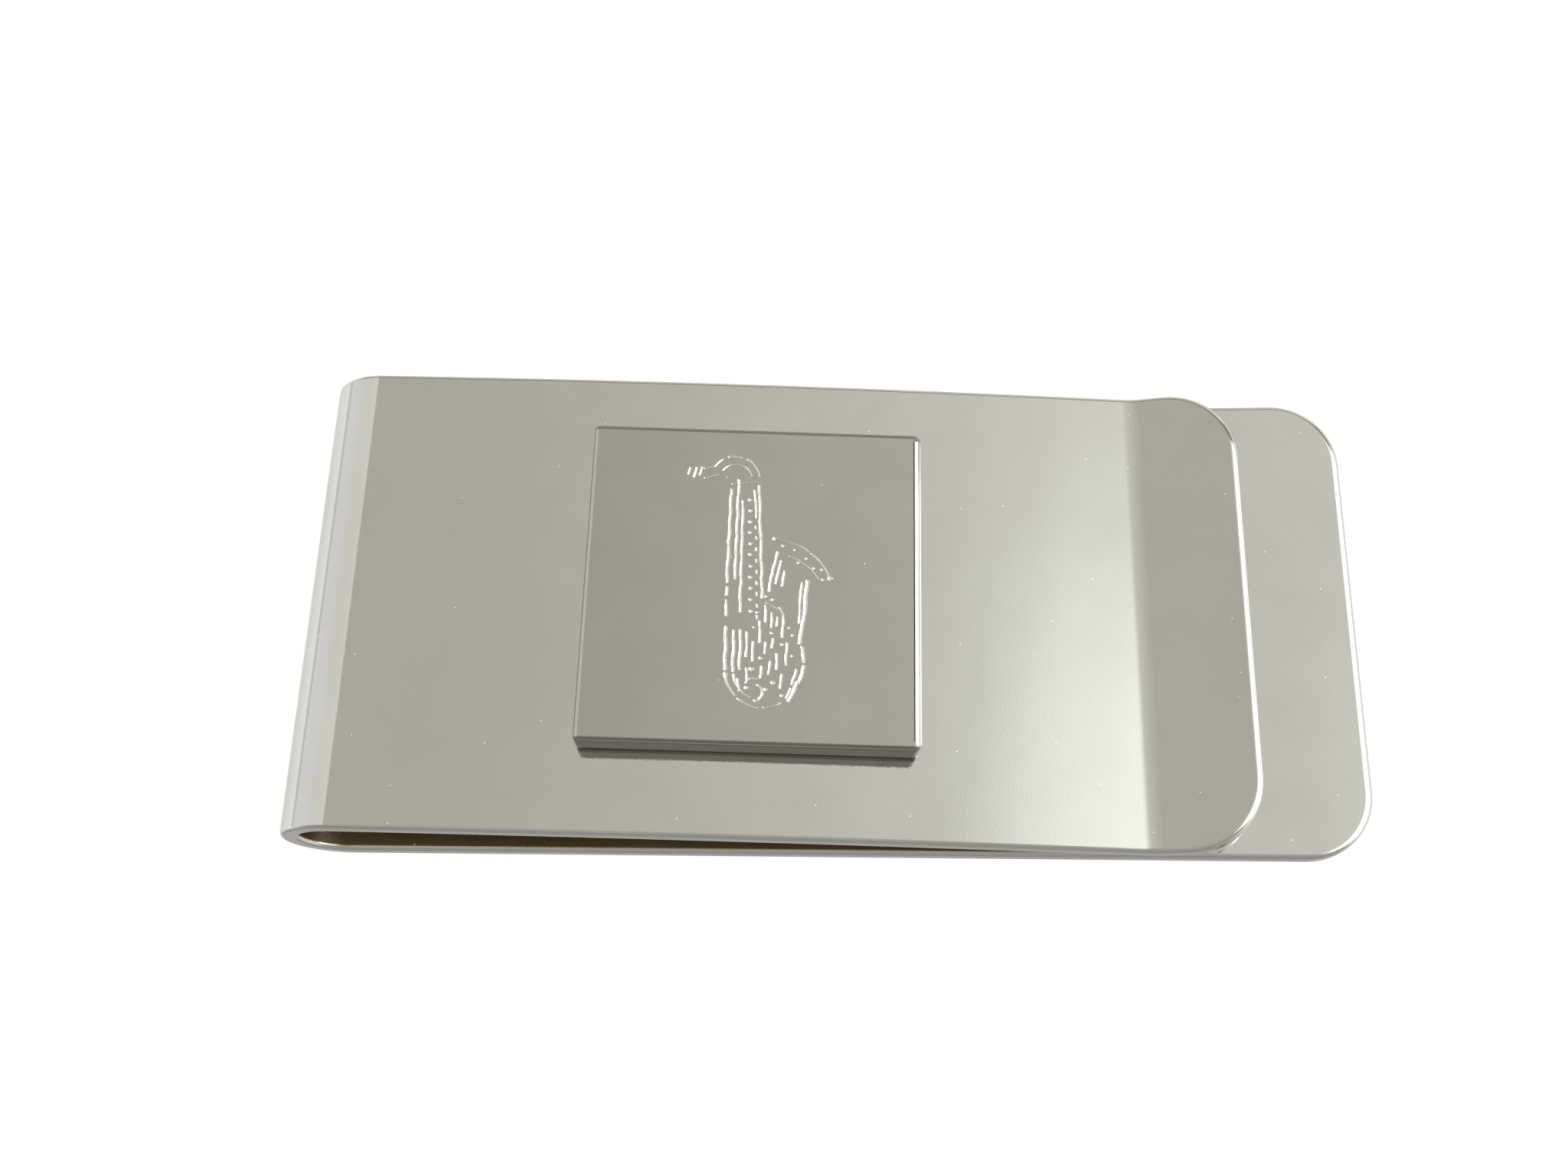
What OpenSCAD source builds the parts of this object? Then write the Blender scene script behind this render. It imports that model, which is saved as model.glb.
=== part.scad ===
// Folded spring money clip with an engraved square tile.
// Millimetres. +X runs from the fold to the tip of the back leaf, +Z points out of the tile's face,
// and the origin is under the middle of the clip, on the flat underside of the back leaf.

/* [Strip] */
// Width of the metal strip
strip_w = 25.4; // [20:0.1:32]
// Thickness of the metal strip
strip_t = 1; // [0.8:0.05:1.2]
// Rounding of the strip's polished edges
edge_r = 0.25; // [0.1:0.05:0.35]
// Overall length, from the outside of the fold to the tip of the back leaf
clip_l = 55.6; // [52:0.2:70]
// Corner radius at the tip of the back leaf
back_corner_r = 3.5; // [2:0.25:6]

/* [Fold and front leaf] */
// Outside height of the fold
fold_h = 6; // [5:0.1:7]
// How far the fold carries on past its highest point, in degrees
fold_over = 3.4; // [2.5:0.1:5]
// Distance from the middle of the fold's bend to the crease
crease_x = 41.3; // [36:0.1:44]
// Free gap between the two leaves at the crease
crease_gap = 0.08; // [0.05:0.01:0.3]
// Radius of the crease, at mid thickness
crease_r = 4; // [2.5:0.25:6]
// Distance from the crease to the tip of the flared lip
lip_l = 5.5; // [5.3:0.1:8]
// Upward slope of the flared lip, in degrees
lip_slope = 11.3; // [8:0.1:15]
// Corner radius at the tip of the lip
lip_corner_r = 3.75; // [2:0.25:4]

/* [Tile] */
// Side of the square tile
tile_w = 17.4; // [12:0.1:20]
// Thickness of the tile
tile_t = 1.6; // [1:0.1:2.5]
// Corner radius of the tile, seen from above
tile_corner_r = 0.3; // [0.2:0.05:1]
// Width of the bevel around the tile's face
tile_bevel = 0.15; // [0.05:0.05:0.3]
// Distance from the middle of the fold's bend to the tile's middle
tile_x = 20.95; // [16:0.05:26]
// How far the tile sits off the strip's middle line, towards the far edge
tile_y = 0.3; // [-0.5:0.1:0.5]
// Thickness of the adhesive layer under the tile
pad_t = 0.15; // [0.1:0.05:0.3]
// How far the adhesive layer stays inside the tile's outline
pad_inset = 0.5; // [0.3:0.1:1]
// Depth of the engraved lines
engrave_depth = 0.12; // [0.05:0.01:0.3]
// Width of the engraved lines
engrave_w = 0.18; // [0.14:0.01:0.22]

/* [Hidden] */

strip_colour = [0.80, 0.79, 0.75];
tile_colour = [0.74, 0.73, 0.69];
pad_colour = [0.93, 0.92, 0.86];

$fn = 72;
// Pieces in a full turn of the small edge roundings
edge_fn = 32;
// Flat facets along the shallow bow and around the crease
bow_steps = 32;
crease_steps = 8;
// How far a cutting shape runs past the surface that it cuts
cut_past = 0.5;

// Middle of the fold's bend, and its radius at mid thickness
fold_r = (fold_h - strip_t) / 2;
fold_c = [fold_h / 2 - clip_l / 2, fold_h / 2];
back_tip_x = clip_l / 2;
back_z = strip_t / 2;
// Lowest point of the crease, at mid thickness
crease_p = [fold_c[0] + crease_x, strip_t * 1.5 + crease_gap];

// The front leaf is one shallow bow that leaves the fold at fold_over below level and arrives at
// the crease steeper. Its chord lies halfway between the two slopes, so the second slope follows
// from the chord, which itself moves a little with that slope: four rounds settle it.
function bow_start() = fold_c + fold_r * [sin(fold_over), cos(fold_over)];
function bow_end(slope) = crease_p + crease_r * [-sin(slope), 1 - cos(slope)];
function chord(slope) = bow_end(slope) - bow_start();
function settle(slope, rounds) =
    rounds == 0 ? slope
    : settle(2 * atan(-chord(slope)[1] / chord(slope)[0]) - fold_over, rounds - 1);
end_slope = settle(2 * fold_over, 4);
bow_r = norm(chord(end_slope)) / (2 * sin((end_slope - fold_over) / 2));
bow_c = bow_start() - bow_r * [sin(fold_over), cos(fold_over)];

// Where the tile's middle stands on the bow: its angle from the vertical, and the point
tile_slope = asin((fold_c[0] + tile_x - bow_c[0]) / bow_r);
tile_p = bow_c + bow_r * [sin(tile_slope), cos(tile_slope)];

// Lip: from the end of the crease's bend, straight to the tip
crease_c = crease_p + [0, crease_r];
lip_start = crease_c + crease_r * [sin(lip_slope), -cos(lip_slope)];
lip_tip = [fold_c[0] + crease_x + lip_l, lip_start[1]]
    + [0, (lip_l - crease_r * sin(lip_slope)) * tan(lip_slope)];

// Points of the XZ plane along one side of the front leaf, from the fold to the lip's tip. The
// side is +1 on top and -1 underneath, and away is the distance from mid thickness.
function bow_line(side, away, from = fold_over, to = end_slope) =
    [for (i = [0 : bow_steps]) let (a = from + (to - from) * i / bow_steps)
        bow_c + (bow_r + side * away) * [sin(a), cos(a)]];
function crease_line(side, away) =
    [for (i = [1 : crease_steps]) let (a = -end_slope + (lip_slope + end_slope) * i / crease_steps)
        crease_c + (crease_r - side * away) * [sin(a), -cos(a)]];
function lip_line(side, away) = [lip_tip + side * away * [-sin(lip_slope), cos(lip_slope)]];
function leaf_line(side, away) =
    concat(bow_line(side, away), crease_line(side, away), lip_line(side, away));
function backwards(list) = [for (i = [len(list) - 1 : -1 : 0]) list[i]];

// ---- Strip shapes ----

// Cross-section of the strip: thickness along X, width along Y, rounded edges
module strip_section() {
    inner_t = strip_t - 2 * edge_r;
    inner_w = strip_w - 2 * edge_r;
    square([inner_t, strip_w], center = true);
    square([strip_t, inner_w], center = true);
    for (x = [-1, 1], y = [-1, 1])
        translate([x * inner_t / 2, y * inner_w / 2]) circle(r = edge_r, $fn = edge_fn);
}

// Straight stretch of strip along +X
module straight_run(length)
    rotate([90, 0, 90]) linear_extrude(height = length) rotate(90) strip_section();

// Bent stretch of strip, centred on the point c of the XZ plane. Angles run from +X towards +Z.
module bend(c, r, from, to)
    translate([c[0], 0, c[1]]) rotate([90, 0, 0]) rotate(from)
        rotate_extrude(angle = to - from) translate([r, 0]) strip_section();

// Side view of the last stretch of strip, with its rounded tip at x = length
module tip_profile(length) {
    inner_t = strip_t - 2 * edge_r;
    translate([0, -inner_t / 2]) square([length, inner_t]);
    translate([0, -strip_t / 2]) square([length - edge_r, strip_t]);
    for (y = [-1, 1])
        translate([length - edge_r, y * inner_t / 2]) circle(r = edge_r, $fn = edge_fn);
}

// End of the strip with two rounded corners, from x = 0 to x = corner_r
module rounded_end(corner_r) {
    middle_w = strip_w - 2 * corner_r;
    rotate([90, 0, 0]) linear_extrude(height = middle_w, center = true) tip_profile(corner_r);
    for (side = [-1, 1])
        translate([0, side * middle_w / 2, 0]) rotate(side > 0 ? 0 : -90)
            rotate_extrude(angle = 90) tip_profile(corner_r);
}

// A side view in the XZ plane, drawn out across the strip's width
module across(width)
    rotate([90, 0, 0]) linear_extrude(height = width, center = true) children();

// Outline from above that ends at x = tip in two rounded corners
module end_outline(from, tip, corner_r) {
    middle_w = strip_w - 2 * corner_r;
    translate([from, -strip_w / 2]) square([tip - corner_r - from, strip_w]);
    translate([from, -middle_w / 2]) square([tip - from, middle_w]);
    for (side = [-1, 1])
        translate([tip - corner_r, side * middle_w / 2]) circle(r = corner_r);
}

// ---- Tile shapes ----

// Places its children on the front leaf: z = 0 at mid thickness under the tile's middle
module on_leaf()
    translate([tile_p[0], tile_y, tile_p[1]]) rotate([0, tile_slope, 0]) children();

// Square plate from z = 0 to z = tile_t, with rounded corners and a bevelled face
module bevelled_plate() {
    half = tile_w / 2 - tile_corner_r;
    difference() {
        linear_extrude(height = tile_t) {
            square([tile_w, 2 * half], center = true);
            square([2 * half, tile_w], center = true);
            for (x = [-half, half], y = [-half, half])
                translate([x, y]) circle(r = tile_corner_r, $fn = edge_fn);
        }
        for (a = [0 : 90 : 270])
            rotate(a) translate([tile_w / 2, 0, tile_t]) rotate([0, 45, 0])
                cube([tile_bevel * sqrt(2), tile_w + cut_past, tile_bevel * sqrt(2)], center = true);
    }
}

// Straight engraved line
module line_cut(a, b) {
    d = b - a;
    translate([a[0], a[1], 0]) rotate(atan2(d[1], d[0])) translate([0, -engrave_w / 2, 0])
        cube([norm(d), engrave_w, engrave_depth + cut_past]);
}

// Engraved line along part of a ring
module arc_cut(c, r, from, to)
    translate([c[0], c[1], 0]) rotate(from)
        rotate_extrude(angle = to - from) translate([r - engrave_w / 2, 0])
            square([engrave_w, engrave_depth + cut_past]);

// Engraved dot, for a key cup
module key_cut(c, r)
    translate([c[0], c[1], 0]) cylinder(r = r, h = engrave_depth + cut_past);

// Plain saxophone motif, about 14 mm tall, from simple lines, arcs and dots that don't touch
module motif_cut() {
    // Body tube, its rods and a collar on top
    line_cut([-1.34, -1.9], [-1.3, 5.1]);
    line_cut([-1.27, -4.8], [-1.3, -2.5]);
    line_cut([-0.94, 0.1], [-0.92, 5.1]);
    line_cut([-0.6, -1.7], [-0.62, 4.5]);
    line_cut([-0.87, -4.8], [-0.88, -2.7]);
    line_cut([-0.53, -4.8], [-0.55, -2.7]);
    line_cut([0.5, -0.9], [0.16, 5.1]);
    line_cut([-1.25, 5.45], [0.1, 5.45]);
    // Neck and mouthpiece
    arc_cut([-1.12, 5.8], 1.25, 8, 150);
    arc_cut([-1.08, 5.8], 0.8, 10, 150);
    line_cut([-2.5, 6.4], [-3.5, 6.1]);
    line_cut([-2.15, 5.95], [-3.3, 5.6]);
    // Bow
    arc_cut([0.65, -4.85], 1.9, 186, 300);
    arc_cut([0.65, -4.85], 1.5, 188, 245);
    // Bell and its rim
    line_cut([0.84, -0.5], [1.22, 1.65]);
    line_cut([1.48, -0.2], [1.62, 0.9]);
    line_cut([2.46, -3.3], [2.78, 0.1]);
    line_cut([2.22, -2.2], [2.42, 0]);
    line_cut([2.72, -4.4], [2.58, -3.6]);
    line_cut([2.02, -6.3], [2.7, -4.7]);
    arc_cut([0.9, -0.82], 3.22, 20, 86);
    arc_cut([0.95, -1.2], 2.8, 30, 72);
    // Levers between the tube and the bell
    line_cut([1.58, -3], [1.6, -1.5]);
    line_cut([1.12, -2.4], [1.1, -1.5]);
    line_cut([0.43, -3.4], [0.42, -2.4]);
    line_cut([-0.2, -4.1], [-0.22, -2.7]);
    // Key cups down the tube, and round keys near the bow
    for (i = [0 : 9]) key_cut([-0.28 + 0.022 * i, 4.55 - 0.62 * i], 0.11);
    for (c = [[1.02, -2.85], [1.6, -3.5]]) key_cut(c, 0.16);
    for (c = [[0.55, -4.05], [0.05, -4.75], [1.25, -5.4]]) key_cut(c, 0.22);
}

// ---- Sub-parts ----

// Flat back leaf, from the start of the fold to the rounded tip
module back_leaf()
    color(strip_colour) {
        translate([fold_c[0], 0, back_z]) straight_run(back_tip_x - back_corner_r - fold_c[0]);
        translate([back_tip_x - back_corner_r, 0, back_z]) rounded_end(back_corner_r);
    }

// Springy fold that joins the two leaves
module spring_fold()
    color(strip_colour) bend(fold_c, fold_r, 90 - fold_over, 270);

// Bowed front leaf, with the crease that pinches the notes and the flared lip
module front_leaf()
    color(strip_colour) intersection() {
        across(strip_w)
            polygon(concat(leaf_line(1, strip_t / 2), backwards(leaf_line(-1, strip_t / 2))));
        linear_extrude(height = 2 * fold_h) end_outline(fold_c[0], lip_tip[0], lip_corner_r);
    }

// Adhesive layer that fills the space between the bowed leaf and the flat tile
module adhesive_pad() {
    half = tile_w / 2 - pad_inset;
    reach = asin(half / bow_r);
    along = [cos(tile_slope), -sin(tile_slope)];
    up = [sin(tile_slope), cos(tile_slope)];
    under_tile = tile_p + (strip_t / 2 + pad_t) * up;
    color(pad_colour) translate([0, tile_y, 0]) across(2 * half) polygon(concat(
        bow_line(1, strip_t / 2, tile_slope - reach, tile_slope + reach),
        [under_tile + half * along, under_tile - half * along]
    ));
}

// Square tile with the engraved motif in its face
module engraved_tile()
    color(tile_colour) on_leaf() translate([0, 0, strip_t / 2 + pad_t]) difference() {
        bevelled_plate();
        translate([0, 0, tile_t - engrave_depth]) motif_cut();
    }

back_leaf();
spring_fold();
front_leaf();
adhesive_pad();
engraved_tile();
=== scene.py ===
"""Looks of a folded spring money clip with an engraved square tile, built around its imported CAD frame."""

import math

import bpy
import numpy as np
from mathutils import Matrix, Vector


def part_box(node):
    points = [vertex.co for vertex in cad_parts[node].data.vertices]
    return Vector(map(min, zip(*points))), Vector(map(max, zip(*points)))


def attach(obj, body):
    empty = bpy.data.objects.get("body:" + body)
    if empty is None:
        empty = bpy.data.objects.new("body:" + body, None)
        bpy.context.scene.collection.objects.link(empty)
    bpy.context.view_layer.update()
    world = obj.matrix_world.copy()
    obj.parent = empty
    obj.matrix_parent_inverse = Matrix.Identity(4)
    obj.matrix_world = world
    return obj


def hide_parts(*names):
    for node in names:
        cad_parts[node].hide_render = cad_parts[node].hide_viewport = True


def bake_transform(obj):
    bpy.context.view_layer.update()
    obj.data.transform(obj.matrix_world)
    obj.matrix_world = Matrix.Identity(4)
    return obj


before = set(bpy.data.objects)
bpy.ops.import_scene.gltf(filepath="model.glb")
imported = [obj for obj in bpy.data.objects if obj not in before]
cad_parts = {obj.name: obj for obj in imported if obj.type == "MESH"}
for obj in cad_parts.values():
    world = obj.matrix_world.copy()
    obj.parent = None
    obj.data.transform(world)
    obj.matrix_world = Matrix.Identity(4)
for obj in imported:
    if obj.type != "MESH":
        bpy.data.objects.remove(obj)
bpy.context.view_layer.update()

MM = 0.001

# ---- Sizes from the frame ----
back_low, back_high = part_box("back_leaf")
fold_low, fold_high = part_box("spring_fold")
leaf_low, leaf_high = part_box("front_leaf")
tile_low, tile_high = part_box("engraved_tile")

STRIP_W = back_high.y - back_low.y
STRIP_T = back_high.z - back_low.z
FOLD_X = back_low.x
FOLD_Z = (fold_low.z + fold_high.z) / 2
FOLD_R = (fold_high.z - fold_low.z - STRIP_T) / 2
BACK_TIP_X = back_high.x
LIP_TIP_X = leaf_high.x
TILE_W = tile_high.y - tile_low.y
TILE_Y = (tile_high.y + tile_low.y) / 2
TILE_X = (tile_high.x + tile_low.x) / 2

# ---- Shape of the strip and the tile, in metres and radians ----
EDGE_R = 0.25 * MM
BACK_END_R = 0.45 * MM
LIP_END_R = 0.34 * MM
FOLD_OVER = math.radians(3.4)  # how far the fold is carried past its highest point
CREASE_X = FOLD_X + 41.3 * MM
CREASE_R = 4 * MM
LIP_SLOPE = math.radians(11.3)
BACK_CORNER_R = 3.5 * MM
LIP_CORNER_R = 3.75 * MM
PAD_T = 0.15 * MM
TILE_T = 1.6 * MM
TILE_EDGE_R = 0.28 * MM
TILE_END_R = 0.44 * MM
TILE_CORNER_R = 0.3 * MM
TILE_LIFT = STRIP_T / 2 + PAD_T + TILE_T / 2  # from the leaf's mid thickness to the tile's

# ---- The front leaf's side view: a shallow bow, a crease and a straight lip ----
CREASE_Z = leaf_low.z + STRIP_T / 2
SETTLE_ROUNDS = 6


def settle_bow():
    """The slope at the bow's end, its radius and its middle. The chord's slope lies halfway between the
    slopes of the two ends."""
    start = np.array([FOLD_X, FOLD_Z]) + FOLD_R * np.array([math.sin(FOLD_OVER), math.cos(FOLD_OVER)])
    slope = 2 * FOLD_OVER
    for _ in range(SETTLE_ROUNDS):
        end = np.array([CREASE_X, CREASE_Z]) + CREASE_R * np.array([-math.sin(slope), 1 - math.cos(slope)])
        chord = end - start
        slope = 2 * math.atan(-chord[1] / chord[0]) - FOLD_OVER
    radius = np.hypot(*chord) / (2 * math.sin((slope - FOLD_OVER) / 2))
    middle = start - radius * np.array([math.sin(FOLD_OVER), math.cos(FOLD_OVER)])
    return slope, radius, middle


BOW_END, BOW_R, BOW_MID = settle_bow()
BOW_L = BOW_R * (BOW_END - FOLD_OVER)
CREASE_L = CREASE_R * (BOW_END + LIP_SLOPE)
LIP_START_X = CREASE_X + CREASE_R * math.sin(LIP_SLOPE)
LIP_START_Z = CREASE_Z + CREASE_R * (1 - math.cos(LIP_SLOPE))
LIP_L = (LIP_TIP_X - LIP_START_X) / math.cos(LIP_SLOPE)
TILE_SLOPE_GUESS = math.asin((TILE_X - BOW_MID[0]) / BOW_R)
TILE_SLOPE = math.asin((TILE_X - math.sin(TILE_SLOPE_GUESS) * TILE_LIFT - BOW_MID[0]) / BOW_R)


def back_path(s):
    """Centre line of the back leaf, from the fold to its tip: x, z and heading."""
    return FOLD_X + s, np.full_like(s, STRIP_T / 2), np.zeros_like(s)


def fold_path(s):
    """Centre line of the fold, from the back leaf up and over to the front leaf."""
    heading = math.pi - s / FOLD_R
    return FOLD_X - FOLD_R * np.sin(heading), FOLD_Z + FOLD_R * np.cos(heading), heading


def leaf_path(s):
    """Centre line of the front leaf, from the fold to the lip's tip."""
    bow = FOLD_OVER + np.minimum(s, BOW_L) / BOW_R
    x = BOW_MID[0] + BOW_R * np.sin(bow)
    z = BOW_MID[1] + BOW_R * np.cos(bow)
    turn = -BOW_END + np.clip(s - BOW_L, 0, CREASE_L) / CREASE_R
    on_crease = s > BOW_L
    x = np.where(on_crease, CREASE_X + CREASE_R * np.sin(turn), x)
    z = np.where(on_crease, CREASE_Z + CREASE_R * (1 - np.cos(turn)), z)
    heading = np.where(on_crease, turn, -bow)
    lip = s - BOW_L - CREASE_L
    on_lip = lip > 0
    x = np.where(on_lip, LIP_START_X + lip * math.cos(LIP_SLOPE), x)
    z = np.where(on_lip, LIP_START_Z + lip * math.sin(LIP_SLOPE), z)
    return x, z, np.where(on_lip, LIP_SLOPE, heading)


def tile_path(s):
    """Line through the tile's mid thickness, from its middle: straight, along the leaf's slope there."""
    x = BOW_MID[0] + (BOW_R + TILE_LIFT) * math.sin(TILE_SLOPE) + s * math.cos(TILE_SLOPE)
    z = BOW_MID[1] + (BOW_R + TILE_LIFT) * math.cos(TILE_SLOPE) - s * math.sin(TILE_SLOPE)
    return x, z, np.full_like(s, -TILE_SLOPE)


# ---- Plates with rounded edges, bent along a path ----
FULL_CUT = 0.02 * MM  # a groove at least this deep gets the engraving's full painted highlight


def even(start, end, pitch):
    """Evenly spaced places from start to end, about pitch apart."""
    return np.linspace(start, end, max(2, round((end - start) / pitch) + 1))


def plate_rows(start, end, steps, half_w, start_r, end_r, corner_steps=14):
    """Rows across a plate: place along it, half width, and the outline's outward normal on the +Y side."""
    rows = []
    if start_r:
        for a in np.linspace(math.pi / 2, 0, corner_steps + 1)[:-1]:
            away, aside = start_r * (1 - math.sin(a)), start_r * (1 - math.cos(a))
            rows.append((start + away, half_w - aside, -math.sin(a)))
    for s in steps:
        rows.append((s, half_w, 0.0))
    if end_r:
        for a in np.linspace(0, math.pi / 2, corner_steps + 1)[1:]:
            away, aside = end_r * (1 - math.sin(a)), end_r * (1 - math.cos(a))
            rows.append((end - away, half_w - aside, math.sin(a)))
    return np.array(rows)


def rim_levels(rounds=7):
    """The levels of a plate's rim, from the top face down to the bottom face. Each has a side, 1 above and
    -1 below the middle, and the angle between its normal and the plate."""
    quarter = np.linspace(math.pi / 2, 0, rounds)
    return [(1, a) for a in quarter] + [(-1, a) for a in reversed(quarter)]


def rim_loop(n_rows, n_cols):
    """The grid's outline, as (row, column) pairs in order."""
    return (
        [(i, 0) for i in range(n_rows)]
        + [(n_rows - 1, j) for j in range(1, n_cols - 1)]
        + [(i, n_cols - 1) for i in range(n_rows - 1, -1, -1)]
        + [(0, j) for j in range(n_cols - 2, 0, -1)]
    )


def bend(path, flat, lean, y0):
    """Carries the points of a flat plate (along, across, up) and their normals onto a path."""
    x, z, heading = path(flat[:, 0])
    c, sn = np.cos(heading), np.sin(heading)
    points = np.stack([x - sn * flat[:, 2], y0 + flat[:, 1], z + c * flat[:, 2]], 1)
    normals = np.stack([c * lean[:, 0] - sn * lean[:, 2], lean[:, 1], sn * lean[:, 0] + c * lean[:, 2]], 1)
    return points, normals


def plate_faces(n_rows, n_cols, first, whole_levels, open_start, open_end):
    """The faces of a plate, and the row of each face that closes an open end. first holds each level's
    first point. A bottom that isn't a whole grid is one fan round the point after the last level."""
    loop = rim_loop(n_rows, n_cols)
    n_levels = len(first) - 1
    last = n_levels - 1

    def at(k, place):
        """The point of level k at a place round the outline."""
        i, j = loop[place % len(loop)]
        return first[k] + (i * n_cols + j if k in whole_levels else place % len(loop))

    faces, caps = [], {}
    for i in range(n_rows - 1):
        for j in range(n_cols - 1):
            a, b = i * n_cols + j, (i + 1) * n_cols + j
            faces.append((a, a + 1, b + 1, b))
            if last in whole_levels:
                faces.append(tuple(first[last] + corner for corner in (a, b, b + 1, a + 1)))
    for k in range(last):
        for place in range(len(loop)):
            ends = {loop[place][0], loop[(place + 1) % len(loop)][0]}
            if ends == {0} and open_start:
                caps[len(faces)] = 0
            if ends == {n_rows - 1} and open_end:
                caps[len(faces)] = n_rows - 1
            faces.append((at(k, place), at(k, place + 1), at(k + 1, place + 1), at(k + 1, place)))
    if last not in whole_levels:
        faces += [(first[n_levels], at(last, place), at(last, place + 1)) for place in range(len(loop))]
    return faces, caps


def plate(name, path, rows, columns, thick, edge_r, end_r=None, open_start=False, open_end=False, y0=0.0,
          relief=None, inner=None, start_shade_and_dull=0.0, flat_bottom=False):
    """A closed mesh with exact normals. rows come from plate_rows, and columns run from 1 at +Y to -1 at
    -Y. The rim's radius is edge_r, and end_r at the end. relief gives a groove's depth and slopes on top.
    Point attributes steer the material: "edge" rises to 1 on the wall of the long sides and to
    start_shade_and_dull on the start's, and gives the walls a painted shade and a duller finish; "inside"
    is what inner gives, a painted shade on the inner faces; and "engraved" is 1 in a groove, where the
    grooves get a painted highlight."""
    levels = rim_levels()
    whole_levels = (0,) if flat_bottom else (0, len(levels) - 1)
    n_rows, n_cols = len(rows), len(columns)
    side_n = np.sqrt(1 - rows[:, 2] ** 2)
    radii = edge_r + ((end_r or edge_r) - edge_r) * np.maximum(rows[:, 2], 0) ** 2
    grid_i, grid_j = (g.ravel() for g in np.meshgrid(range(n_rows), range(n_cols), indexing="ij"))
    loop_i, loop_j = np.array(rim_loop(n_rows, n_cols)).T

    flat, lean, edge, cut = [], [], [], []
    for k, (side, angle) in enumerate(levels):
        whole = k in whole_levels
        i, j = (grid_i, grid_j) if whole else (loop_i, loop_j)
        on_side = (j == 0) | (j == n_cols - 1)
        inset = radii[i] * (1 - math.cos(angle))
        s, y = rows[i, 0] - inset * rows[i, 2], columns[j] * (rows[i, 1] - inset * side_n[i])
        n = side * (thick / 2 - radii[i] * (1 - math.sin(angle)))
        along = np.where(on_side, rows[i, 2], np.sign(rows[i, 2]))
        across = np.where(on_side, np.sign(columns[j]), 0.0) * side_n[i]
        edge.append(math.cos(angle) * np.maximum(np.abs(across), -start_shade_and_dull * along))
        level_out = 0 if whole else math.cos(angle)
        along, across = along * level_out, across * level_out
        depth = np.zeros(len(i))
        if k == 0 and relief is not None:
            depth, along, across = relief(s, y)
        cut.append(depth)
        flat.append(np.stack([s, y, n - depth], 1))
        lean.append(np.stack([along, across, np.full(len(i), side * math.sin(angle))], 1))
    first = np.concatenate([[0], np.cumsum([len(level) for level in flat])])
    if flat_bottom:
        flat.append([[(rows[0, 0] + rows[-1, 0]) / 2, 0, -thick / 2]])
        lean.append([[0, 0, -1]])
        edge.append([0])
        cut.append([0])
    flat, lean = np.concatenate(flat), np.concatenate(lean)
    lean /= np.linalg.norm(lean, axis=1)[:, None]
    points, normals = bend(path, flat, lean, y0)
    faces, caps = plate_faces(n_rows, n_cols, first, whole_levels, open_start, open_end)

    mesh = bpy.data.meshes.new(name)
    mesh.from_pydata(points.tolist(), [], faces)
    mesh.update()
    corner_normals = normals[np.array([v for f in faces for v in f])]
    for face, row in caps.items():
        turn = path(rows[row : row + 1, 0])[2][0]
        out = (-1 if row == 0 else 1) * np.array([math.cos(turn), 0, math.sin(turn)])
        corner = mesh.polygons[face].loop_start
        corner_normals[corner : corner + 4] = out
    mesh.polygons.foreach_set("use_smooth", [True] * len(faces))
    mesh.normals_split_custom_set(corner_normals.tolist())
    # inner gives where the painted shade goes on the inner faces between the leaves and inside the fold.
    inside = inner(flat[:, 0], flat[:, 2]) if inner else np.zeros(len(flat))
    engraved = np.clip(np.concatenate(cut) / FULL_CUT, 0, 1)
    for key, values in (("edge", np.concatenate(edge)), ("inside", inside), ("engraved", engraved)):
        mesh.attributes.new(key, "FLOAT", "POINT").data.foreach_set("value", values.astype(np.float32))
    obj = bpy.data.objects.new(name, mesh)
    bpy.context.scene.collection.objects.link(obj)
    return obj


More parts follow.
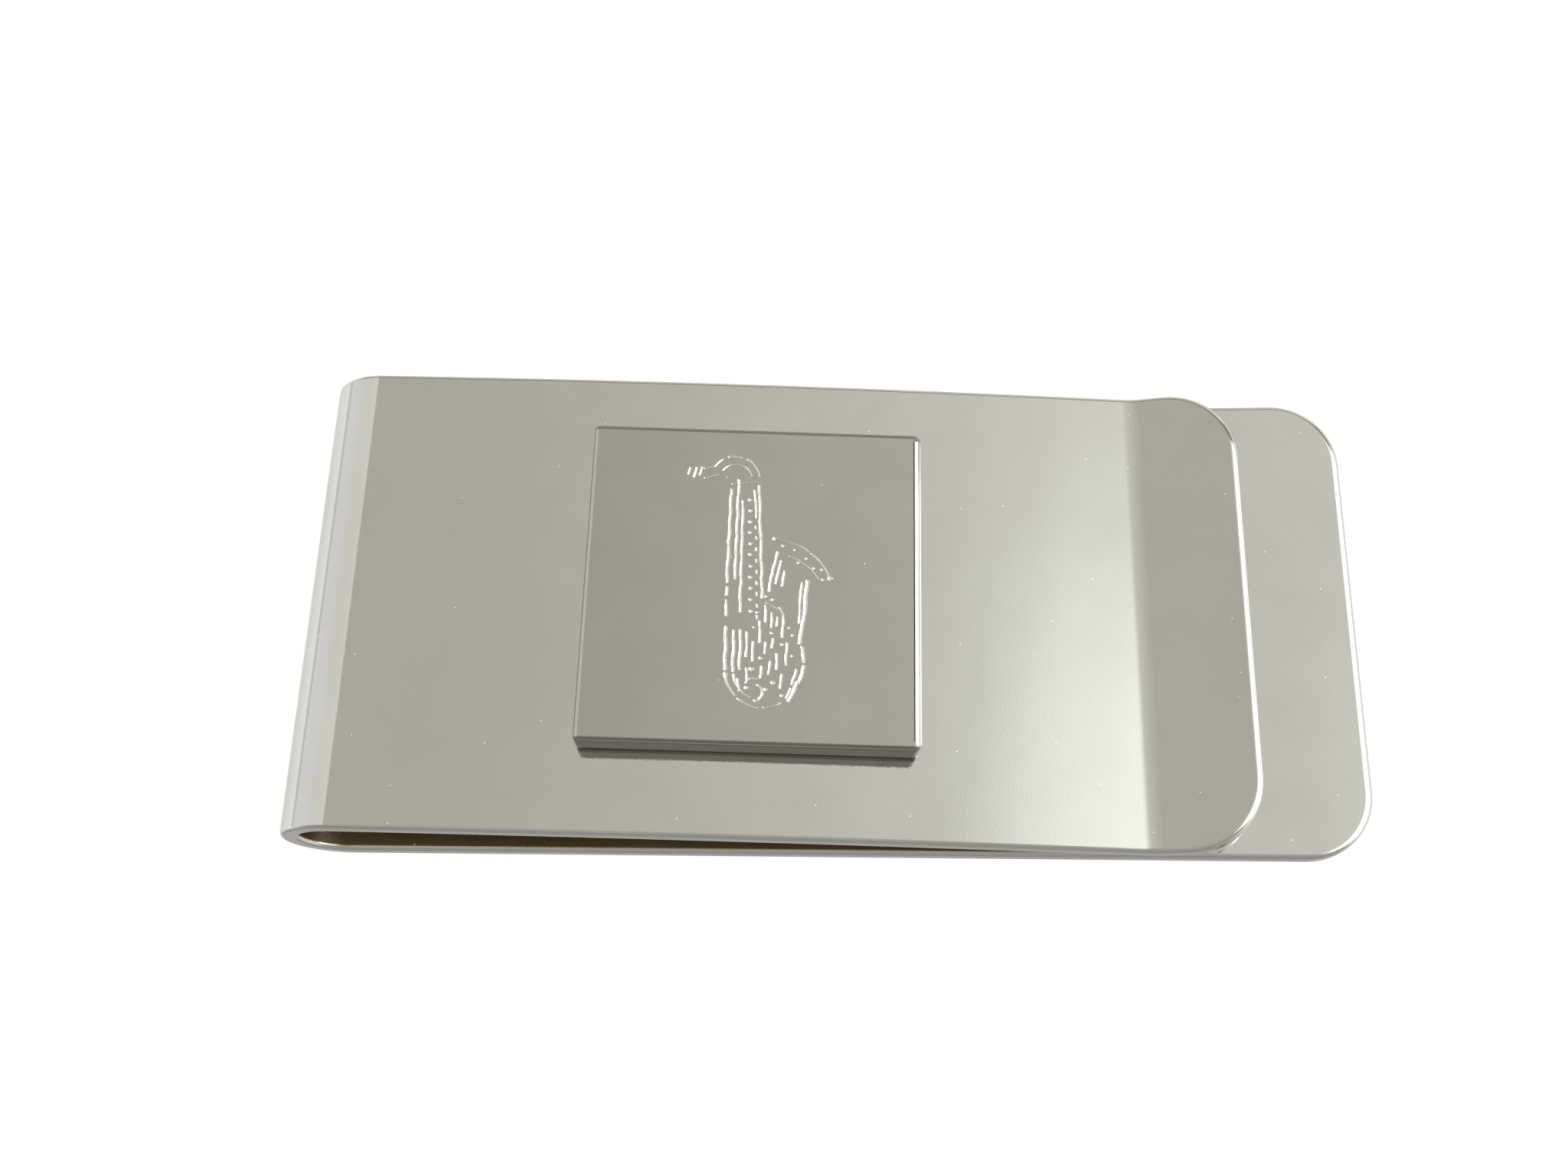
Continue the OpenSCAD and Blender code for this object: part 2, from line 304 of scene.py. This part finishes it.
# ---- Engraved motif: a plain saxophone of lines, arcs and dots ----
def motif_strokes():
    """Strokes in millimetres from the tile's middle, u along +X and v along +Y. A line is (u, v, u, v,
    width), an arc (u, v, radius, low and high angle in degrees, width), a dot (u, v, radius, soft rim)."""
    strokes = [
        # body tube and its rods
        ("line", -1.30, 5.1, -1.34, -0.1, 0.16),
        ("line", -1.33, -0.4, -1.33, -0.8, 0.17),
        ("line", -1.32, -1.1, -1.31, -1.9, 0.15),
        ("line", -1.30, -2.5, -1.27, -4.8, 0.17),
        ("line", -0.92, 5.7, -0.94, 0.1, 0.15),
        ("line", -0.66, 4.5, -0.62, -1.7, 0.14),
        ("line", -0.88, -2.7, -0.87, -4.9, 0.16),
        ("line", -0.55, -2.7, -0.53, -4.8, 0.15),
        ("line", 0.16, 5.4, 0.50, -0.9, 0.15),
        ("line", -0.06, 5.1, 0.04, 3.6, 0.11),
        ("line", -1.25, 5.45, 0.10, 5.6, 0.09),
        # neck and mouthpiece
        ("arc", -1.12, 5.8, 1.25, 8, 60, 0.12),
        ("arc", -1.12, 5.8, 1.25, 78, 108, 0.12),
        ("arc", -1.12, 5.8, 1.25, 122, 150, 0.11),
        ("arc", -1.08, 5.8, 0.80, 10, 80, 0.10),
        ("arc", -1.08, 5.8, 0.80, 100, 150, 0.10),
        ("line", -2.25, 6.45, -2.75, 6.3, 0.09),
        ("line", -2.05, 5.95, -2.75, 5.75, 0.09),
        ("line", -2.85, 6.35, -3.0, 5.9, 0.13),
        ("line", -3.15, 6.3, -3.3, 5.8, 0.15),
        ("line", -3.5, 6.3, -3.6, 5.95, 0.14),
        # bow
        ("arc", 0.65, -4.85, 1.90, 184, 222, 0.17),
        ("arc", 0.65, -4.85, 1.90, 230, 262, 0.15),
        ("arc", 0.65, -4.85, 1.90, 272, 300, 0.11),
        ("arc", 0.65, -4.85, 1.50, 188, 245, 0.12),
        ("arc", 0.20, -5.95, 0.45, 280, 420, 0.15),
        ("arc", 0.15, -5.55, 0.35, 60, 170, 0.12),
        # bell
        ("line", 1.22, 1.65, 1.00, 0.7, 0.15),
        ("line", 1.00, 0.7, 0.84, -0.5, 0.16),
        ("line", 1.40, 1.2, 1.18, -0.1, 0.14),
        ("line", 1.62, 0.6, 1.50, -0.2, 0.13),
        ("line", 2.78, 0.1, 2.68, -1.6, 0.21),
        ("line", 2.68, -1.6, 2.46, -3.3, 0.20),
        ("line", 2.50, 0.0, 2.40, -2.2, 0.14),
        ("line", 2.58, -3.5, 2.72, -4.3, 0.17),
        ("line", 2.72, -4.5, 2.50, -5.3, 0.20),
        ("line", 2.42, -5.4, 2.02, -6.3, 0.26),
        ("line", 2.32, -4.7, 2.14, -5.5, 0.14),
        ("line", 2.06, -5.7, 1.86, -6.2, 0.14),
        ("arc", 0.90, -0.82, 3.22, 20, 50, 0.11),
        ("arc", 0.90, -0.82, 3.22, 53, 86, 0.10),
        ("arc", 0.95, -1.20, 2.80, 30, 72, 0.08),
        ("dot", 3.98, 0.28, 0.14, 0.1),
        ("dot", 1.04, 2.38, 0.10, 0.1),
        # spatula keys, their guard and rods down to the bow
        ("line", 0.72, -1.15, 1.28, -1.45, 0.09),
        ("line", 1.42, -1.4, 1.60, -1.8, 0.12),
        ("line", 1.60, -1.8, 1.58, -3.0, 0.14),
        ("line", 0.68, -1.3, 0.70, -2.2, 0.14),
        ("line", 1.00, -1.7, 1.02, -2.5, 0.12),
        ("line", 1.28, -1.9, 1.28, -2.4, 0.12),
        ("line", 0.42, -2.2, 0.43, -3.3, 0.14),
        ("line", 0.74, -3.3, 0.72, -3.9, 0.12),
        ("line", 1.10, -3.1, 1.08, -3.6, 0.13),
        ("line", 1.34, -3.9, 1.32, -4.7, 0.14),
        ("line", 1.82, -3.3, 1.80, -4.5, 0.13),
        ("line", 0.98, -4.3, 0.94, -5.0, 0.12),
        ("line", 0.56, -4.6, 0.54, -5.2, 0.13),
        ("line", 1.62, -5.0, 1.52, -5.7, 0.14),
        ("line", 0.10, -3.3, 0.12, -4.3, 0.12),
        ("line", -0.24, -2.8, -0.22, -4.1, 0.12),
        ("line", -0.20, -4.7, -0.16, -5.3, 0.12),
        ("line", -0.62, -5.3, -0.50, -5.9, 0.14),
    ]
    # key cups and posts down the body tube
    cups, cup_pitch = 11, 0.62
    for i in range(cups):
        v = 4.55 - cup_pitch * i
        post_u = 0.026 * i
        strokes.append(("dot", -0.30 + 0.022 * i, v, 0.07, 0.10))
        strokes.append(("line", post_u, v - 0.22, post_u + 0.01, v - 0.38, 0.12))
    # round pads on the bow and under the bell
    for u, v, r in ((1.02, -2.82, 0.06), (0.50, -4.15, 0.09), (1.56, -3.4, 0.06), (0.05, -4.75, 0.11),
                    (1.18, -5.45, 0.10), (0.80, -5.8, 0.08), (-0.15, -5.75, 0.07), (1.62, -6.1, 0.07)):
        strokes.append(("dot", u, v, r, 0.10))
    # studs round the bell's mouth and beside the keys
    for u, v in ((1.5, 2.0), (2.1, 1.8), (2.7, 1.35), (3.1, 0.8), (3.5, 0.75), (3.6, 0.2), (2.3, 1.1),
                 (0.68, -0.8), (1.02, -1.0), (0.25, -1.7), (0.12, -2.5), (2.12, -2.9), (2.1, -4.0),
                 (1.9, -2.5)):
        strokes.append(("dot", u, v, 0.06, 0.08))
    return strokes


STROKES = motif_strokes()
DEPTH_SHARE = 0.45  # depth of a stroke as a share of its width
WIDEST_CUT = 0.18  # strokes wider than this many millimetres are cut no deeper
SLOPE_STEP = 0.004 * MM


def stroke_distance(stroke, u, v):
    """Distance from each point to the middle of a stroke, as a share of the stroke's half width."""
    kind, numbers, width = stroke[0], stroke[1:-1], stroke[-1]
    if kind == "line":
        a, b = np.array(numbers[:2]), np.array(numbers[2:])
        d = b - a
        t = np.clip(((u - a[0]) * d[0] + (v - a[1]) * d[1]) / (d @ d), 0, 1)
        return np.hypot(u - a[0] - t * d[0], v - a[1] - t * d[1]) / (width / 2)
    if kind == "arc":
        cu, cv, r, low, high = numbers
        low, high = math.radians(low), math.radians(high)
        middle, reach = (low + high) / 2, (high - low) / 2
        turn = (np.arctan2(v - cv, u - cu) - middle + math.pi) % (2 * math.pi) - math.pi
        turn = middle + np.clip(turn, -reach, reach)
        return np.hypot(u - cu - r * np.cos(turn), v - cv - r * np.sin(turn)) / (width / 2)
    cu, cv, r = numbers
    return np.hypot(u - cu, v - cv) / (r + width / 2)


def groove_depth(s, y):
    """Depth of the engraving at points of the tile's face, in metres. Slow waves make the strokes drift by
    up to 0.02 mm and swell by up to a sixth, like work done by hand."""
    u, v = s / MM, y / MM
    drift_u = 0.018 * np.sin(4.3 * v + 1.7 * np.sin(1.9 * u + 0.8 * v))
    drift_v = 0.015 * np.sin(5.1 * u + 1.9 * np.sin(2.3 * v))
    swell = 1 + 0.16 * np.sin(7.3 * v + 2.1 * u) * np.sin(3.1 * v - 1.7 * u)
    depth = np.zeros(u.shape)
    for stroke in STROKES:
        t = np.clip(stroke_distance(stroke, u + drift_u, v + drift_v) / swell, 0, 1)
        depth = np.maximum(depth, DEPTH_SHARE * min(stroke[-1], WIDEST_CUT) * MM * (1 - t * t) ** 2)
    return depth


def engraving(s, y):
    """Depth and slopes of the engraving."""
    rise_s = groove_depth(s + SLOPE_STEP, y) - groove_depth(s - SLOPE_STEP, y)
    rise_y = groove_depth(s, y + SLOPE_STEP) - groove_depth(s, y - SLOPE_STEP)
    return groove_depth(s, y), rise_s / (2 * SLOPE_STEP), rise_y / (2 * SLOPE_STEP)


# ---- Node trees ----
class Nodes:
    """Short calls for building a node tree."""

    def __init__(self, tree):
        self.tree = tree

    def add(self, kind, **settings):
        node = self.tree.nodes.new(kind)
        for key, value in settings.items():
            setattr(node, key, value)
        return node

    def link(self, source, target):
        self.tree.links.new(source, target)

    def feed(self, socket, value):
        """Gives a socket another socket's value, a number or a colour."""
        if isinstance(value, bpy.types.NodeSocket):
            self.link(value, socket)
        elif isinstance(value, tuple):
            socket.default_value = (*value, 1)
        else:
            socket.default_value = value

    def span(self, source, low, high, to_low=0.0, to_high=1.0):
        """Maps low..high to to_low..to_high, and stays within them."""
        node = self.add("ShaderNodeMapRange")
        for key, value in zip(("From Min", "From Max", "To Min", "To Max"), (low, high, to_low, to_high)):
            node.inputs[key].default_value = value
        self.link(source, node.inputs["Value"])
        return node.outputs["Result"]

    def maths(self, operation, a, b):
        node = self.add("ShaderNodeMath", operation=operation)
        self.feed(node.inputs[0], a)
        self.feed(node.inputs[1], b)
        return node.outputs[0]

    def blend_colours(self, factor, low, high):
        node = self.add("ShaderNodeMix", data_type="RGBA")
        colours_in = {socket.name: socket for socket in node.inputs if socket.type == "RGBA"}
        self.link(factor, node.inputs["Factor"])
        self.feed(colours_in["A"], low)
        self.feed(colours_in["B"], high)
        return [socket for socket in node.outputs if socket.type == "RGBA"][0]

    def ramp(self, source, stops):
        """A colour for each value, eased between (value, colour) stops in rising order."""
        low, high = stops[0][0], stops[-1][0]
        node = self.add("ShaderNodeValToRGB")
        node.color_ramp.interpolation = "EASE"
        band = node.color_ramp.elements
        band[0].color = (*stops[0][1], 1)
        band[1].color = (*stops[-1][1], 1)
        for value, colour in stops[1:-1]:
            band.new((value - low) / (high - low)).color = (*colour, 1)
        self.link(self.span(source, low, high), node.inputs["Fac"])
        return node.outputs["Color"]


class Material(Nodes):
    """Short calls for building one node material on the object's own coordinates."""

    def __init__(self, name):
        self.material = bpy.data.materials.new(name)
        self.material.use_nodes = True
        super().__init__(self.material.node_tree)
        self.shader = self.tree.nodes["Principled BSDF"]
        self.place = self.add("ShaderNodeTexCoord").outputs["Object"]

    def attribute(self, key):
        return self.add("ShaderNodeAttribute", attribute_name=key).outputs["Fac"]

    def mapped(self, scale, turn=0.0):
        node = self.add("ShaderNodeMapping")
        node.inputs["Scale"].default_value = scale
        node.inputs["Rotation"].default_value = (0, 0, turn)
        self.link(self.place, node.inputs["Vector"])
        return node.outputs["Vector"]

    def noise(self, vector, scale, detail=3.0, rough=0.5):
        node = self.add("ShaderNodeTexNoise")
        node.inputs["Scale"].default_value = scale
        node.inputs["Detail"].default_value = detail
        node.inputs["Roughness"].default_value = rough
        self.link(vector, node.inputs["Vector"])
        return node.outputs["Fac"]

    def bump(self, height, distance, strength, below=None):
        node = self.add("ShaderNodeBump")
        node.inputs["Distance"].default_value = distance
        node.inputs["Strength"].default_value = strength
        self.link(height, node.inputs["Height"])
        if below is not None:
            self.link(below, node.inputs["Normal"])
        return node.outputs["Normal"]

    def hairlines(self, turn, across, along, cut):
        """Thin straight scratches: 1 on a line, 0 elsewhere."""
        lines = self.noise(self.mapped((along, across, along), turn), 1.0, detail=2.0, rough=0.6)
        return self.span(lines, cut, cut + 0.05)

    def specks(self, scale, size, share):
        """Round specks scattered over X and Y: 1 in a speck, 0 elsewhere."""
        cells = self.add("ShaderNodeTexVoronoi", voronoi_dimensions="2D")
        cells.inputs["Scale"].default_value = scale
        self.link(self.place, cells.inputs["Vector"])
        near = self.span(cells.outputs["Distance"], size, size * 0.5)
        pick = self.add("ShaderNodeSeparateColor")
        self.link(cells.outputs["Color"], pick.inputs["Color"])
        chosen = self.span(pick.outputs[0], 1 - share, 1 - share + 0.01)
        return self.maths("MULTIPLY", near, chosen)


# ---- Materials ----
# Painted shade: a dark brown laid on the inner faces, in the gap between the leaves and inside the fold,
# standing in for the shade there; those faces are also made rougher.
INNER_SHADE_TONE = (0.40, 0.31, 0.15)
# Painted dark reflection: a near-black line on the tile's rim, where its top curves into the upright wall.
ARRIS_REFLECTION_TONE = (0.10, 0.10, 0.095)
# Painted glint: the pits are real dents with rougher floors, and this near-white colour paints them
# brighter than the metal round them.
PIT_GLINT_TONE = (0.96, 0.96, 0.94)
# Painted highlight: near white in the engraved grooves, standing in for the light their sloped walls would
# catch.
GROOVE_HIGHLIGHT_TONE = (0.93, 0.93, 0.91)
INNER_SHADE_SHARE = 0.75  # how much of the painted inner shade shows on the inner faces


def polished_metal(name, tones, gloss, wall_shade_tone, edge_span, arris_reflection_share=0.0):
    """Bright plated metal: clouding, buffing lines, hairlines, pits with a painted glint, duller edges and
    inner faces that also carry a painted shade, and a painted highlight in the grooves. tones and gloss are
    the ranges of colour and roughness. The rim's walls turn to wall_shade_tone, a painted shade, over
    edge_span of the "edge" attribute, with arris_reflection_share of a painted dark reflection, a dark line
    on the curve beside its upright wall."""
    m = Material(name)
    cloud = m.noise(m.place, 260.0, detail=4.0, rough=0.55)
    grain = m.noise(m.place, 9000.0, detail=2.0, rough=0.6)
    waves = m.noise(m.place, 95.0, detail=1.0, rough=0.4)
    orange_peel = m.noise(m.place, 11000.0, detail=2.0, rough=0.5)
    buffing = m.noise(m.mapped((120, 5200, 120)), 1.0, detail=3.0, rough=0.6)
    burr = m.noise(m.mapped((2600, 2600, 260)), 1.0, detail=2.0, rough=0.6)
    marks = m.maths(
        "MAXIMUM",
        m.hairlines(turn=0.35, across=3800, along=90, cut=0.70),
        m.hairlines(turn=-0.8, across=3400, along=80, cut=0.72),
    )
    # pits: real dents and roughness, with a painted glint in their colour
    glinting_pits = m.specks(scale=420.0, size=0.021, share=0.20)
    edge = m.attribute("edge")
    # where the inner faces get their painted shade
    inside = m.attribute("inside")
    # where the grooves get their painted highlight
    groove = m.attribute("engraved")
    # The walls get a painted shade: a darker tone standing in for the dark, shaded surroundings they would
    # reflect. They are also rougher and carry burr lines.
    wall = m.span(edge, *edge_span)
    # where the painted dark reflection lies on the rim's curve beside the wall
    arris_reflection = m.maths("MULTIPLY", wall, m.span(edge, 0.93, 0.99, arris_reflection_share, 0.0))

    colour = m.blend_colours(m.span(cloud, 0.3, 0.7), *tones)
    for mask, tone in (
        (wall, wall_shade_tone),
        (arris_reflection, ARRIS_REFLECTION_TONE),
        (m.maths("MULTIPLY", inside, INNER_SHADE_SHARE), INNER_SHADE_TONE),
        (glinting_pits, PIT_GLINT_TONE),
        (groove, GROOVE_HIGHLIGHT_TONE),
    ):
        colour = m.blend_colours(mask, colour, tone)

    cloudy_grain = m.maths("ADD", m.maths("MULTIPLY", cloud, 0.6), m.maths("MULTIPLY", grain, 0.4))
    rough = m.span(cloudy_grain, 0.3, 0.7, *gloss)
    for mask, extra in ((marks, 0.10), (glinting_pits, 0.45), (wall, 0.12), (inside, 0.22), (groove, 0.05)):
        rough = m.maths("ADD", rough, m.maths("MULTIPLY", mask, extra))

    normal = None
    for height, distance, strength in (
        (waves, 0.04 * MM, 0.35),
        (buffing, 0.0006 * MM, 0.5),
        (marks, 0.002 * MM, -0.5),
        (glinting_pits, 0.03 * MM, -1.0),
        (orange_peel, 0.0018 * MM, 1.0),
        (m.maths("MULTIPLY", burr, wall), 0.02 * MM, 0.5),
    ):
        normal = m.bump(height, distance, strength, normal)

    m.link(colour, m.shader.inputs["Base Color"])
    m.link(rough, m.shader.inputs["Roughness"])
    m.link(normal, m.shader.inputs["Normal"])
    m.shader.inputs["Metallic"].default_value = 1.0
    m.shader.inputs["Specular Tint"].default_value = (0.80, 0.80, 0.80, 1)
    return m.material


def clear_adhesive():
    """Thin milky bonding layer with tiny bubbles."""
    m = Material("clear_adhesive")
    cloud = m.noise(m.place, 1800.0, detail=3.0, rough=0.6)
    bubbles = m.specks(scale=2600.0, size=0.2, share=0.4)
    m.link(m.blend_colours(cloud, (0.62, 0.60, 0.54), (0.80, 0.79, 0.73)), m.shader.inputs["Base Color"])
    m.link(m.span(cloud, 0.3, 0.7, 0.25, 0.45), m.shader.inputs["Roughness"])
    m.link(m.bump(bubbles, 0.02 * MM, 0.6), m.shader.inputs["Normal"])
    return m.material


strip_metal = polished_metal(
    "strip_metal",
    tones=((0.615, 0.605, 0.570), (0.645, 0.637, 0.605)),
    gloss=(0.045, 0.075),
    # the darker tone below is a painted shade on the strip's walls
    wall_shade_tone=(0.21, 0.205, 0.185),
    edge_span=(0.50, 0.90),
)
tile_metal = polished_metal(
    "tile_metal",
    tones=((0.478, 0.463, 0.430), (0.500, 0.486, 0.456)),
    gloss=(0.06, 0.10),
    # the darker tone below is a painted shade on the tile's walls
    wall_shade_tone=(0.335, 0.326, 0.304),
    edge_span=(0.15, 0.50),
    # share of the painted dark reflection on the rim's curve beside the wall
    arris_reflection_share=0.55,
)
adhesive = clear_adhesive()


def dress(obj, material):
    """Gives a piece its material, in its only material slot."""
    obj.data.materials.clear()
    obj.data.materials.append(material)


# ---- Pieces ----
STRIP_COLUMNS = np.linspace(1, -1, 15)
FACE_N = 0.49 * STRIP_T  # further from the mid plane than this is a flat face, not its rounded rim
INNER_SHADE_FADE = 6 * MM  # length over which the painted inner shade fades out beside the crease
BACK_PITCH = 1.6 * MM
FOLD_PITCH = 0.1 * MM
BOW_PITCH = 0.9 * MM
CREASE_PITCH = 0.08 * MM
LIP_PITCH = 0.3 * MM
TILE_PITCH = 1.2 * MM
MOTIF_PITCH = 0.042 * MM
MOTIF_U = (-3.8 * MM, 4.3 * MM)
MOTIF_V = (-6.9 * MM, 7.4 * MM)
START_SHADE_AND_DULL = 0.3  # how much painted shade and duller finish the tile's wall towards the fold gets, as a share of its long sides


def make_back_leaf():
    length = BACK_TIP_X - FOLD_X
    crease = CREASE_X - FOLD_X
    steps = even(0, length - BACK_CORNER_R, BACK_PITCH)
    rows = plate_rows(0, length, steps, STRIP_W / 2, None, BACK_CORNER_R)
    leaf = plate("back_leaf_metal", back_path, rows, STRIP_COLUMNS, STRIP_T, EDGE_R, BACK_END_R,
                 open_start=True,
                 inner=lambda s, n: (n > FACE_N) * np.clip((crease - s) / INNER_SHADE_FADE, 0, 1))
    dress(leaf, strip_metal)
    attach(leaf, "back")
    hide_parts("back_leaf")


def make_fold():
    length = FOLD_R * (math.pi + FOLD_OVER)
    rows = plate_rows(0, length, even(0, length, FOLD_PITCH), STRIP_W / 2, None, None)
    fold = plate("spring_fold_metal", fold_path, rows, STRIP_COLUMNS, STRIP_T, EDGE_R,
                 open_start=True, open_end=True,
                 inner=lambda s, n: 1.0 * (n < -FACE_N))
    dress(fold, strip_metal)
    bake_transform(fold)
    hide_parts("spring_fold")


def make_front_leaf():
    length = BOW_L + CREASE_L + LIP_L
    steps = np.concatenate([
        even(0, BOW_L, BOW_PITCH)[:-1],
        even(BOW_L, BOW_L + CREASE_L, CREASE_PITCH)[:-1],
        even(BOW_L + CREASE_L, length - LIP_CORNER_R, LIP_PITCH),
    ])
    rows = plate_rows(0, length, steps, STRIP_W / 2, None, LIP_CORNER_R)
    leaf = plate("front_leaf_metal", leaf_path, rows, STRIP_COLUMNS, STRIP_T, EDGE_R, LIP_END_R,
                 open_start=True,
                 inner=lambda s, n: (n < -FACE_N) * np.clip((BOW_L - s) / INNER_SHADE_FADE, 0, 1))
    dress(leaf, strip_metal)
    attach(leaf, "front")
    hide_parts("front_leaf")


def make_tile():
    half = TILE_W / 2
    steps = np.concatenate([
        even(TILE_CORNER_R - half, MOTIF_U[0], TILE_PITCH)[:-1],
        even(*MOTIF_U, MOTIF_PITCH),
        even(MOTIF_U[1], half - TILE_END_R, TILE_PITCH)[1:],
    ])
    rows = plate_rows(-half, half, steps, half, TILE_CORNER_R, TILE_END_R, corner_steps=6)
    columns = np.concatenate([[1.0], even(*MOTIF_V, MOTIF_PITCH)[::-1] / (half - TILE_EDGE_R), [-1.0]])
    tile = plate("engraved_tile_metal", tile_path, rows, columns, TILE_T, TILE_EDGE_R, TILE_END_R,
                 y0=TILE_Y, relief=engraving, start_shade_and_dull=START_SHADE_AND_DULL, flat_bottom=True)
    dress(tile, tile_metal)
    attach(tile, "front")
    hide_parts("engraved_tile")


make_back_leaf()
make_fold()
make_front_leaf()
make_tile()
dress(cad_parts["adhesive_pad"], adhesive)

# ---- Stage: floor, surroundings, light and camera ----
BLACK, WHITE = (0, 0, 0), (1, 1, 1)
TENT_STRENGTH = 2.5
FAR_PANEL_TONE = (0.15, 0.13, 0.10)
OVERHEAD_TONE = (0.215, 0.212, 0.200)
NEAR_SIDE_TONE = (0.21, 0.205, 0.20)
OVERHEAD_WAY = (0.08, -0.42, 0.90)
BACKDROP = (1 / TENT_STRENGTH,) * 3  # plain white once the tent's strength is applied


def make_floor():
    bpy.ops.mesh.primitive_plane_add(size=8, location=(0, 0, -0.02 * MM))
    floor = bpy.context.object
    floor.name = "floor"
    m = Material("floor_white")
    tone = m.blend_colours(m.noise(m.place, 30.0), (0.29, 0.29, 0.29), (0.31, 0.31, 0.31))
    m.link(tone, m.shader.inputs["Base Color"])
    m.shader.inputs["Roughness"].default_value = 0.9
    m.shader.inputs["Emission Color"].default_value = (1, 1, 1, 1)
    m.shader.inputs["Emission Strength"].default_value = 0.80
    floor.data.materials.append(m.material)


def make_world():
    """A pale studio tent: a grey ceiling that brightens towards +X, over a low horizon, with a dim panel on
    the far side, a dim patch overhead and a dim near side. The camera itself sees plain white."""
    world = bpy.data.worlds.new("studio_tent")
    bpy.context.scene.world = world
    world.use_nodes = True
    w = Nodes(world.node_tree)
    direction = w.add("ShaderNodeTexCoord").outputs["Generated"]
    parts = w.add("ShaderNodeSeparateXYZ")
    w.link(direction, parts.inputs["Vector"])
    x, y, z = parts.outputs

    dim_ceiling = [
        (-1.00, (0.38, 0.38, 0.39)),
        (-0.82, (0.38, 0.38, 0.39)),
        (-0.68, (0.368, 0.368, 0.355)),
        (-0.45, (0.366, 0.366, 0.350)),
        (-0.30, (0.385, 0.382, 0.343)),
        (-0.26, (0.250, 0.243, 0.221)),
        (-0.15, (0.250, 0.243, 0.221)),
        (-0.04, (0.268, 0.262, 0.238)),
    ]
    near_ceiling = w.ramp(x, dim_ceiling + [
        (0.12, (0.300, 0.300, 0.276)),
        (0.22, (0.328, 0.330, 0.312)),
        (0.35, (0.530, 0.548, 0.520)),
        (0.50, (0.90, 0.90, 0.88)),
        (1.00, WHITE),
    ])
    far_ceiling = w.ramp(x, dim_ceiling + [
        (0.12, (0.305, 0.303, 0.280)),
        (0.22, (0.325, 0.327, 0.310)),
        (0.35, (0.370, 0.372, 0.352)),
        (0.55, (0.90, 0.90, 0.88)),
        (1.00, WHITE),
    ])
    horizon = w.ramp(z, [
        (0.00, (0.31, 0.32, 0.335)),
        (0.10, (0.315, 0.322, 0.335)),
        (0.17, (0.40, 0.40, 0.395)),
        (1.00, (0.40, 0.40, 0.395)),
    ])
    far = w.ramp(y, [(0.0, BLACK), (0.24, BLACK), (0.50, WHITE), (1.0, WHITE)])
    far_panel = w.ramp(y, [
        (-1.0, BLACK), (0.48, BLACK), (0.58, WHITE), (0.72, WHITE), (0.84, BLACK), (1.0, BLACK),
    ])
    toward = w.add("ShaderNodeVectorMath", operation="DOT_PRODUCT")
    w.link(direction, toward.inputs[0])
    toward.inputs[1].default_value = OVERHEAD_WAY
    overhead = w.ramp(toward.outputs["Value"], [(0.90, BLACK), (0.92, BLACK), (0.97, WHITE), (1.00, WHITE)])
    low = w.ramp(z, [(0.0, WHITE), (0.18, WHITE), (0.26, BLACK), (1.0, BLACK)])
    near_side = w.ramp(y, [
        (-1.00, (0.7, 0.7, 0.7)), (-0.93, (0.85, 0.85, 0.85)), (-0.80, WHITE), (-0.60, WHITE),
        (-0.46, BLACK), (0.00, BLACK),
    ])

    tent = w.blend_colours(far, near_ceiling, far_ceiling)
    for share, tone in (
        (far_panel, FAR_PANEL_TONE),
        (overhead, OVERHEAD_TONE),
        (low, horizon),
        (near_side, NEAR_SIDE_TONE),
        (w.add("ShaderNodeLightPath").outputs["Is Camera Ray"], BACKDROP),
    ):
        tent = w.blend_colours(share, tent, tone)
    background = w.tree.nodes["Background"]
    w.link(tent, background.inputs["Color"])
    background.inputs["Strength"].default_value = TENT_STRENGTH


def make_light():
    """One soft lamp low on the +X side, which whitens the rims that face it."""
    data = bpy.data.lights.new("soft_lamp", "AREA")
    data.shape = "RECTANGLE"
    data.size = 1.4
    data.size_y = 0.5
    data.energy = 6.5
    lamp = bpy.data.objects.new("soft_lamp", data)
    lamp.location = (1.4, 0.0, 0.45)
    lamp.rotation_euler = (-lamp.location).to_track_quat("-Z", "Y").to_euler()
    bpy.context.scene.collection.objects.link(lamp)


def make_camera():
    """The photo's camera: above the clip and a little to the near side, rolled to the photo's tilt."""
    azimuth, elevation, roll = (math.radians(a) for a in (12.21, 68.32, -11.53))
    distance, target = 91.49 * MM, Vector((-2.562, 2.308, 0)) * MM
    level = math.cos(elevation)
    back = Vector((math.sin(azimuth) * level, -math.cos(azimuth) * level, math.sin(elevation)))
    right = Vector((0, 0, 1)).cross(back).normalized()
    up = back.cross(right)
    tilted_right = math.cos(roll) * right + math.sin(roll) * up
    tilted_up = math.cos(roll) * up - math.sin(roll) * right
    data = bpy.data.cameras.new("camera")
    data.lens = 38.08
    data.sensor_width = 36
    data.clip_start = 0.005
    data.clip_end = 20
    camera = bpy.data.objects.new("camera", data)
    turned = Matrix((tilted_right, tilted_up, back)).transposed().to_4x4()
    camera.matrix_world = Matrix.Translation(target + back * distance) @ turned
    bpy.context.scene.collection.objects.link(camera)
    bpy.context.scene.camera = camera


make_floor()
make_world()
make_light()
make_camera()
bpy.context.scene.view_settings.view_transform = "Standard"
